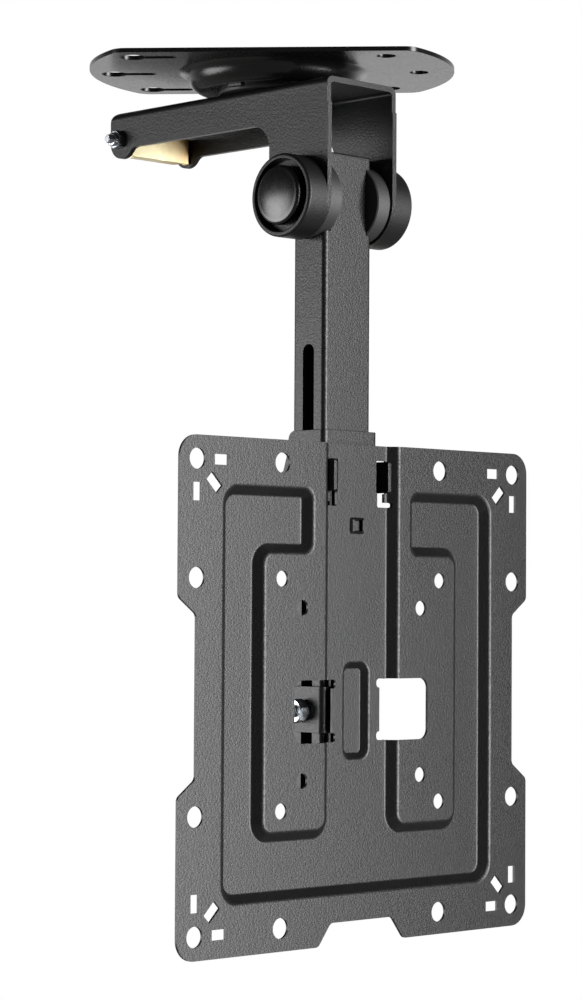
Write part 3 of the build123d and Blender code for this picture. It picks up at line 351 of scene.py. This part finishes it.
def softened(
    node: bpy.types.Object, name: str, edge_mm: float, segments: int = 2, angle: float = 28.0
) -> bpy.types.Object:
    """Copies a CAD node, joins its loose triangles and rounds its sharp edges.

    Coplanar triangles become one face, and each edge that turns by more than the angle gets an arc of
    the edge's size.

    Args:
        node: The CAD node.
        name: The new piece's name.
        edge_mm: Width of the rounding.
        segments: Facets across it.
        angle: Least turn in degrees that counts as an edge.

    Returns:
        The new piece, at the origin.
    """
    mesh = bmesh.new()
    mesh.from_mesh(node.data)
    bmesh.ops.remove_doubles(mesh, verts=mesh.verts, dist=JOIN_MM * MM)
    bmesh.ops.dissolve_limit(mesh, angle_limit=math.radians(FLAT_ANGLE), verts=mesh.verts, edges=mesh.edges)
    data = bpy.data.meshes.new(name)
    mesh.to_mesh(data)
    mesh.free()
    piece = bpy.data.objects.new(name, data)
    bpy.context.scene.collection.objects.link(piece)
    bevel = piece.modifiers.new("edge", "BEVEL")
    bevel.width = edge_mm * MM
    bevel.segments = segments
    bevel.limit_method = "ANGLE"
    bevel.angle_limit = math.radians(angle)
    bevel.use_clamp_overlap = True
    data.shade_smooth()
    weigh = piece.modifiers.new("flat faces", "WEIGHTED_NORMAL")
    weigh.mode = "FACE_AREA_WITH_ANGLE"
    weigh.weight = 100
    return piece


@dataclass
class ThreadedScrew:
    """A screw whose free end shows a rolled thread, cut as one helical surface.

    The node's smooth end is cut off inside its nut, and the thread takes its place. The end points down
    the axis. Sizes are in millimetres: the cut is buried in the nut, the thread laps over it, and it
    runs out at both ends over a share of its pitch.
    """

    node: str
    nut: str
    body: str
    axis: Axis
    pitch: float
    radius: float
    depth: float
    bury: float = 1.0
    lap: float = 0.2
    run_out: float = 0.6
    rings_per_pitch: int = 10
    around: int = 48

    def thread(self, centre: np.ndarray, tip: float, end: float) -> bpy.types.Mesh:
        """Makes the thread's closed skin.

        The radius at angle a and height h is the outer radius less the depth times a triangle wave of
        (h / pitch - a / full turn), and both ends run down to the root.

        Args:
            centre: A point on the axis, in metres.
            tip: The free end along the axis, in metres.
            end: The buried end along the axis, in metres.

        Returns:
            The mesh.
        """
        length = (end - tip) / MM
        rows = int(length / self.pitch * self.rings_per_pitch) + 1
        height = np.linspace(0, length, rows)[:, None]
        angle = np.linspace(0, 2 * math.pi, self.around, endpoint=False)[None, :]
        phase = (height / self.pitch - angle / (2 * math.pi)) % 1.0
        wave = np.abs(2 * phase - 1)
        fade = np.clip(np.minimum(height, length - height) / (self.run_out * self.pitch), 0, 1)
        radius = self.radius - self.depth * (1 - wave * fade)
        across = radius * np.cos(angle)
        up = radius * np.sin(angle)
        along = np.broadcast_to(height, across.shape)
        if self.axis is Axis.X:
            points = np.stack([along, across, up], axis=-1)
        else:
            points = np.stack([across, up, along], axis=-1)
        start = centre.copy()
        start[self.index()] = tip
        points = points.reshape(-1, 3) * MM + start
        ends = [list(range(self.around))[::-1], list(range((rows - 1) * self.around, rows * self.around))]
        data = bpy.data.meshes.new(self.node + "_thread")
        data.from_pydata(points.tolist(), [], ring_quads(rows, self.around).tolist() + ends)
        return data

    def index(self) -> int:
        """Number of the axis, 0 to 2."""
        return "xyz".index(self.axis.value)

    def build(self, node: bpy.types.Object, material: bpy.types.Material) -> None:
        """Stands the screw with its thread in for the node.

        Args:
            node: The CAD node.
            material: Its finish.
        """
        low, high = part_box(self.node)
        centre = (np.array(low) + np.array(high)) / 2
        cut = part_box(self.nut)[0][self.index()] + self.bury * MM
        place = centre.copy()
        place[self.index()] = cut
        ahead = [0.0, 0.0, 0.0]
        ahead[self.index()] = 1.0
        mesh = bmesh.new()
        mesh.from_mesh(node.data)
        bmesh.ops.remove_doubles(mesh, verts=mesh.verts, dist=JOIN_MM * MM)
        everything = [*mesh.verts, *mesh.edges, *mesh.faces]
        bmesh.ops.bisect_plane(mesh, geom=everything, plane_co=place, plane_no=ahead, clear_inner=True)
        bmesh.ops.holes_fill(mesh, edges=[edge for edge in mesh.edges if edge.is_boundary], sides=0)
        mesh.from_mesh(self.thread(centre, low[self.index()], cut + self.lap * MM))
        bmesh.ops.recalc_face_normals(mesh, faces=mesh.faces)
        data = bpy.data.meshes.new(self.node + "_threaded")
        mesh.to_mesh(data)
        mesh.free()
        piece = new_piece(self.node + "_threaded", data)
        stand_in(piece, self.node, self.body, material)
        LOG.info("%s on %s: thread of pitch %.2f mm", piece.name, self.body, self.pitch)


@dataclass
class DomedCap:
    """A moulded cap turned about X, drawn as one smooth skin.

    Sizes are in millimetres, and its length comes from the CAD node's box.
    """

    node: str
    body: str
    radius: float = 13.2
    rise: float = 1.6
    edge: float = 1.6
    wall: float = 1.3
    around: int = 128
    dome_rows: int = 13
    edge_rows: int = 8
    inside_rows: int = 9

    def profile(self, length: float) -> np.ndarray:
        """The skin's outline, from the dome's middle over the edge to the middle of its inside.

        The dome is the sphere through the shoulder, a quarter circle rounds the edge, the side and the
        rim are straight, and the inside is the same sphere less the wall.

        Args:
            length: From the rim to the dome's middle.

        Returns:
            Rows of height over the rim and radius.
        """
        shoulder = self.radius - self.edge
        sphere = (shoulder**2 + self.rise**2) / (2 * self.rise)
        centre = length - sphere
        out = np.linspace(0, shoulder, self.dome_rows)
        dome = np.stack([centre + np.sqrt(sphere**2 - out**2), out], axis=-1)
        turn = np.linspace(math.pi / 2, 0, self.edge_rows)
        base = length - self.rise - self.edge
        bend = np.stack([base + self.edge * np.sin(turn), shoulder + self.edge * np.cos(turn)], axis=-1)
        inside = np.linspace(self.radius - self.wall, 0, self.inside_rows)
        under = np.stack([centre + np.sqrt((sphere - self.wall) ** 2 - inside**2), inside], axis=-1)
        rim = np.array([[0.0, self.radius], [0.0, self.radius - self.wall]])
        return np.concatenate([dome, bend[1:], rim, under])

    def build(self, node: bpy.types.Object, material: bpy.types.Material) -> None:
        """Stands the cap in for the node.

        Args:
            node: Not used; the cap finds its CAD node, whose outward end is the dome, by name.
            material: Its finish.
        """
        low, high = (np.array(corner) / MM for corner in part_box(self.node))
        middle = (low + high) / 2
        side = 1.0 if middle[0] > 0 else -1.0
        rim = low[0] if side > 0 else high[0]
        rows = self.profile(high[0] - low[0])
        rows[:, 0] = rim + side * rows[:, 0]
        along, out = rows[1:-1, 0][:, None], rows[1:-1, 1][:, None]
        angle = np.linspace(0, 2 * math.pi, self.around, endpoint=False)
        across = middle[1] + out * np.cos(angle)
        up = middle[2] + out * np.sin(angle)
        points = np.stack([np.broadcast_to(along, up.shape), across, up], axis=-1).reshape(-1, 3)
        poles = [[rows[end, 0], middle[1], middle[2]] for end in (0, -1)]
        pole, foot = len(points), len(points) - self.around
        fans = [[pole, (k + 1) % self.around, k] for k in range(self.around)]
        fans += [[pole + 1, foot + k, foot + (k + 1) % self.around] for k in range(self.around)]
        faces = ring_quads(len(along), self.around).tolist() + fans
        data = bpy.data.meshes.new(self.node + "_skin")
        data.from_pydata((np.concatenate([points, poles]) * MM).tolist(), [], faces)
        mesh = bmesh.new()
        mesh.from_mesh(data)
        bmesh.ops.recalc_face_normals(mesh, faces=mesh.faces)
        mesh.to_mesh(data)
        mesh.free()
        piece = new_piece(self.node + "_skin", data)
        stand_in(piece, self.node, self.body, material)
        LOG.info("%s on %s: turned cap", piece.name, self.body)


@dataclass
class Assembly:
    """A group of nodes that ride on one body and take their finishes together."""

    body: str
    finishes: dict[str, Finish]
    softened_mm: dict[str, float] = field(default_factory=dict)
    slots: dict[str, str] = field(default_factory=dict)

    def build(self, nodes: dict[str, bpy.types.Object], made: dict[Finish, bpy.types.Material]) -> None:
        """Dresses each node, and stands a softened copy in for those with a rounded edge.

        Args:
            nodes: The CAD nodes by name.
            made: The materials by finish.
        """
        for name, finish in self.finishes.items():
            dress(nodes[name], made[finish])
            if name in self.softened_mm:
                piece = softened(nodes[name], name + "_skin", self.softened_mm[name])
                stand_in(piece, name, self.body, made[finish])
            LOG.info("%s on %s: %s", name, self.body, finish.name)


@dataclass(frozen=True)
class Softbox:
    """One rectangular lamp that faces the object.

    The bearing is in degrees, 0 along +X and 90 along +Y. The height over the object's middle, the
    reach along the ground and the size are in metres, and the spread is in degrees.
    """

    name: str
    bearing: float
    height: float
    reach: float
    size: tuple[float, float]
    watts: float
    spread: float = 80.0

    def build(self, aim: np.ndarray) -> None:
        """Adds the lamp.

        Args:
            aim: The object's middle.
        """
        turn = math.radians(self.bearing)
        place = aim + np.array([self.reach * math.cos(turn), self.reach * math.sin(turn), self.height])
        data = bpy.data.lights.new(self.name, "AREA")
        data.shape = "RECTANGLE"
        data.size, data.size_y = self.size
        data.energy = self.watts
        data.spread = math.radians(self.spread)
        lamp = bpy.data.objects.new(self.name, data)
        back = (place - aim) / np.linalg.norm(place - aim)
        side = np.cross([0.0, 0.0, 1.0], back)
        side /= np.linalg.norm(side)
        facing = np.eye(4)
        facing[:3, 0], facing[:3, 1], facing[:3, 2] = side, np.cross(back, side), back
        facing[:3, 3] = place
        lamp.matrix_world = Matrix(facing.tolist())
        bpy.context.scene.collection.objects.link(lamp)


@dataclass
class Studio:
    """Plain soft light: two broad softboxes at the sides, a dim room, and a pale floor far below."""

    lamps: tuple[Softbox, ...] = (
        Softbox("softbox_right", -71.0, 0.0, 1.2, (0.7, 1.5), 12.4),
        Softbox("softbox_left", 139.0, -0.17, 1.7, (1.3, 1.0), 6.4),
    )
    aim: tuple[float, float, float] = (0.0, -0.02, -0.2)
    floor_drop: float = 2.2
    floor_radius: float = 6.0
    floor_sides: int = 96
    camera_place: tuple[float, float, float] = (-0.90719, -0.93830, -0.24596)
    camera_azimuth: float = -0.7755774
    camera_pitch: float = 0.0362040
    camera_roll: float = 0.0057606
    focal_px: float = 2849.47
    frame_height_px: float = 1000.0
    room_level: float = 0.04
    side_level: float = 1.0
    fill_level: float = 0.25
    far_side: tuple[float, float, float] = (0.70, 0.69, -0.19)
    far_from: float = 0.5
    floor_glow: float = 0.8

    def camera(self) -> None:
        """Makes the camera at the photograph's viewpoint, from its azimuth, pitch and roll."""
        ahead = np.array([-math.sin(self.camera_azimuth), math.cos(self.camera_azimuth), 0.0])
        level = np.array([math.cos(self.camera_azimuth), math.sin(self.camera_azimuth), 0.0])
        up = np.array([0.0, 0.0, 1.0])
        forward = ahead * math.cos(self.camera_pitch) + up * math.sin(self.camera_pitch)
        lift = up * math.cos(self.camera_pitch) - ahead * math.sin(self.camera_pitch)
        right = level * math.cos(self.camera_roll) + lift * math.sin(self.camera_roll)
        top = lift * math.cos(self.camera_roll) - level * math.sin(self.camera_roll)
        turn = np.eye(4)
        turn[:3, 0], turn[:3, 1], turn[:3, 2] = right, top, -forward
        turn[:3, 3] = self.camera_place
        data = bpy.data.cameras.new("camera")
        data.sensor_width = 36.0
        data.lens = self.focal_px / self.frame_height_px * data.sensor_width
        camera = bpy.data.objects.new("camera", data)
        camera.matrix_world = Matrix(turn.tolist())
        bpy.context.scene.collection.objects.link(camera)
        bpy.context.scene.camera = camera

    def world(self) -> None:
        """Lights the room.

        It is white to look at and through. Glossy surfaces see that white in the far side's direction,
        and it falls to a dim room behind the camera. Matt surfaces get one even fill.
        """
        world = bpy.data.worlds.new("room")
        bpy.context.scene.world = world
        world.use_nodes = True
        tree = world.node_tree
        tree.nodes.clear()
        place = add_node(tree, "ShaderNodeTexCoord", {}, {}).outputs["Generated"]
        far = add_node(
            tree, "ShaderNodeVectorMath", {"operation": "DOT_PRODUCT", 1: self.far_side}, {0: place}
        )
        ramp = {"From Min": self.far_from, "To Min": self.room_level, "To Max": self.side_level}
        level = add_node(tree, "ShaderNodeMapRange", ramp, {"Value": far.outputs["Value"]})
        path = add_node(tree, "ShaderNodeLightPath", {}, {})
        object_light = add_node(
            tree,
            "ShaderNodeMix",
            {"data_type": "FLOAT", 2: self.fill_level},
            {0: path.outputs["Is Glossy Ray"], 3: level.outputs["Result"]},
        )
        seen = add_node(
            tree,
            "ShaderNodeMath",
            {"operation": "MAXIMUM"},
            {0: path.outputs["Is Camera Ray"], 1: path.outputs["Is Transmission Ray"]},
        )
        strength = add_node(
            tree,
            "ShaderNodeMix",
            {"data_type": "FLOAT", 3: 1.0},
            {0: seen.outputs[0], 2: object_light.outputs[0]},
        )
        light = add_node(
            tree, "ShaderNodeBackground", {"Color": (1, 1, 1, 1)}, {"Strength": strength.outputs[0]}
        )
        add_node(tree, "ShaderNodeOutputWorld", {}, {"Surface": light.outputs["Background"]})

    def floor(self) -> None:
        """Lays a pale round floor well below the mount: one ring of points about the centre.

        To the camera a share of its light is its own colour at full strength, so that it looks as pale
        as it is painted. The rest is lit, and keeps the shadow.
        """
        angle = np.linspace(0, 2 * math.pi, self.floor_sides, endpoint=False)
        drop = np.full(self.floor_sides, -self.floor_drop)
        rim = np.stack([self.floor_radius * np.cos(angle), self.floor_radius * np.sin(angle), drop], axis=-1)
        data = bpy.data.meshes.new("floor")
        data.from_pydata(rim.tolist(), [], [list(range(self.floor_sides))])
        floor = bpy.data.objects.new("floor", data)
        bpy.context.scene.collection.objects.link(floor)
        material = bpy.data.materials.new("pale_painted_floor")
        material.use_nodes = True
        tree = material.node_tree
        tree.nodes.clear()
        pale = linear("#eceae6")
        paint = add_node(tree, "ShaderNodeBsdfPrincipled", {"Base Color": pale, "Roughness": 0.8}, {})
        glow = add_node(tree, "ShaderNodeEmission", {"Color": pale, "Strength": 1.0}, {})
        path = add_node(tree, "ShaderNodeLightPath", {}, {})
        looked_at = path.outputs["Is Camera Ray"]
        glowing = {"operation": "MULTIPLY", 1: self.floor_glow}
        share = add_node(tree, "ShaderNodeMath", glowing, {0: looked_at})
        seen = add_node(
            tree, "ShaderNodeMixShader", {}, {0: share.outputs[0], 1: paint.outputs[0], 2: glow.outputs[0]}
        )
        add_node(tree, "ShaderNodeOutputMaterial", {}, {"Surface": seen.outputs[0]})
        dress(floor, material)

    def build(self) -> None:
        """Makes the whole set."""
        self.camera()
        self.world()
        self.floor()
        for lamp in self.lamps:
            lamp.build(np.array(self.aim))


CEILING = Assembly(
    "ceiling",
    {
        "ceiling_plate": CEILING_COAT,
        "swivel_bolt": BRIGHT_ZINC,
        "swivel_washer": BRIGHT_ZINC,
        "swivel_nut": BRIGHT_ZINC,
        "swivel_glide": PLAIN_NYLON,
    },
    {"ceiling_plate": 0.4},
)
ARM = Assembly(
    "arm",
    {
        "arm_yoke": POWDER_COAT,
        "pivot_cover_left": SATIN_NYLON,
        "pivot_cover_right": SATIN_NYLON,
        "pivot_cap_left": GLOSS_ABS,
        "pivot_cap_right": GLOSS_ABS,
        "pivot_bolt": BRIGHT_ZINC,
        "pivot_nut": BRIGHT_ZINC,
        "pivot_washers": BRIGHT_ZINC,
        "latch_bolt": BRIGHT_ZINC,
        "latch_nut": BRIGHT_ZINC,
        "latch_spring": BRIGHT_ZINC,
    },
    {"arm_yoke": 0.4, "pivot_cover_left": 0.3, "pivot_cover_right": 0.3},
    {"pivot_cover_left": "satin_black_plastic", "pivot_cover_right": "satin_black_plastic"},
)
COLUMN = Assembly(
    "column",
    {
        "column_tube": POWDER_COAT,
        "column_top_plug": SATIN_NYLON,
        "column_bottom_plug": SATIN_NYLON,
        "friction_disc_left": PLAIN_NYLON,
        "friction_disc_right": PLAIN_NYLON,
        "pivot_sleeve": BRIGHT_ZINC,
    },
    {"column_tube": 0.3},
)
CARRIAGE = Assembly(
    "carriage",
    {
        "guide_bracket": POWDER_COAT,
        "vesa_plate": POWDER_COAT,
        "striker_pin": BRIGHT_ZINC,
        "clamp_bolt": BRIGHT_ZINC,
        "clamp_nut": BRIGHT_ZINC,
        "clamp_washers": BRIGHT_ZINC,
    },
    {"vesa_plate": 0.25, "guide_bracket": 0.35},
)
LATCH = Assembly("latch", {"latch_lever": YELLOW_ZINC}, {"latch_lever": 0.2}, {"latch_lever": "yellow_zinc"})


SCREWS = (
    ThreadedScrew("clamp_bolt", "clamp_nut", "carriage", Axis.X, pitch=1.0, radius=2.95, depth=0.55),
    ThreadedScrew("latch_bolt", "latch_nut", "arm", Axis.X, pitch=0.7, radius=2.1, depth=0.4),
    ThreadedScrew("swivel_bolt", "swivel_nut", "ceiling", Axis.Z, pitch=1.5, radius=5.0, depth=0.8),
)


CAPS = (DomedCap("pivot_cap_left", "arm"), DomedCap("pivot_cap_right", "arm"))


def main() -> None:
    """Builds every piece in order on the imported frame."""
    logging.basicConfig(level=logging.INFO)
    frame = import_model()
    finishes = (POWDER_COAT, CEILING_COAT, BRIGHT_ZINC, YELLOW_ZINC, SATIN_NYLON, GLOSS_ABS, PLAIN_NYLON)
    made = {finish: finish.build() for finish in finishes}
    for assembly in (CEILING, ARM, COLUMN, CARRIAGE, LATCH):
        assembly.build(frame["nodes"], made)
    for screw in SCREWS:
        screw.build(frame["nodes"][screw.node], made[BRIGHT_ZINC])
    for cap in CAPS:
        cap.build(frame["nodes"][cap.node], made[GLOSS_ABS])
    Studio().build()
    bpy.context.scene.view_settings.view_transform = "Standard"


if __name__ == "__main__":
    main()
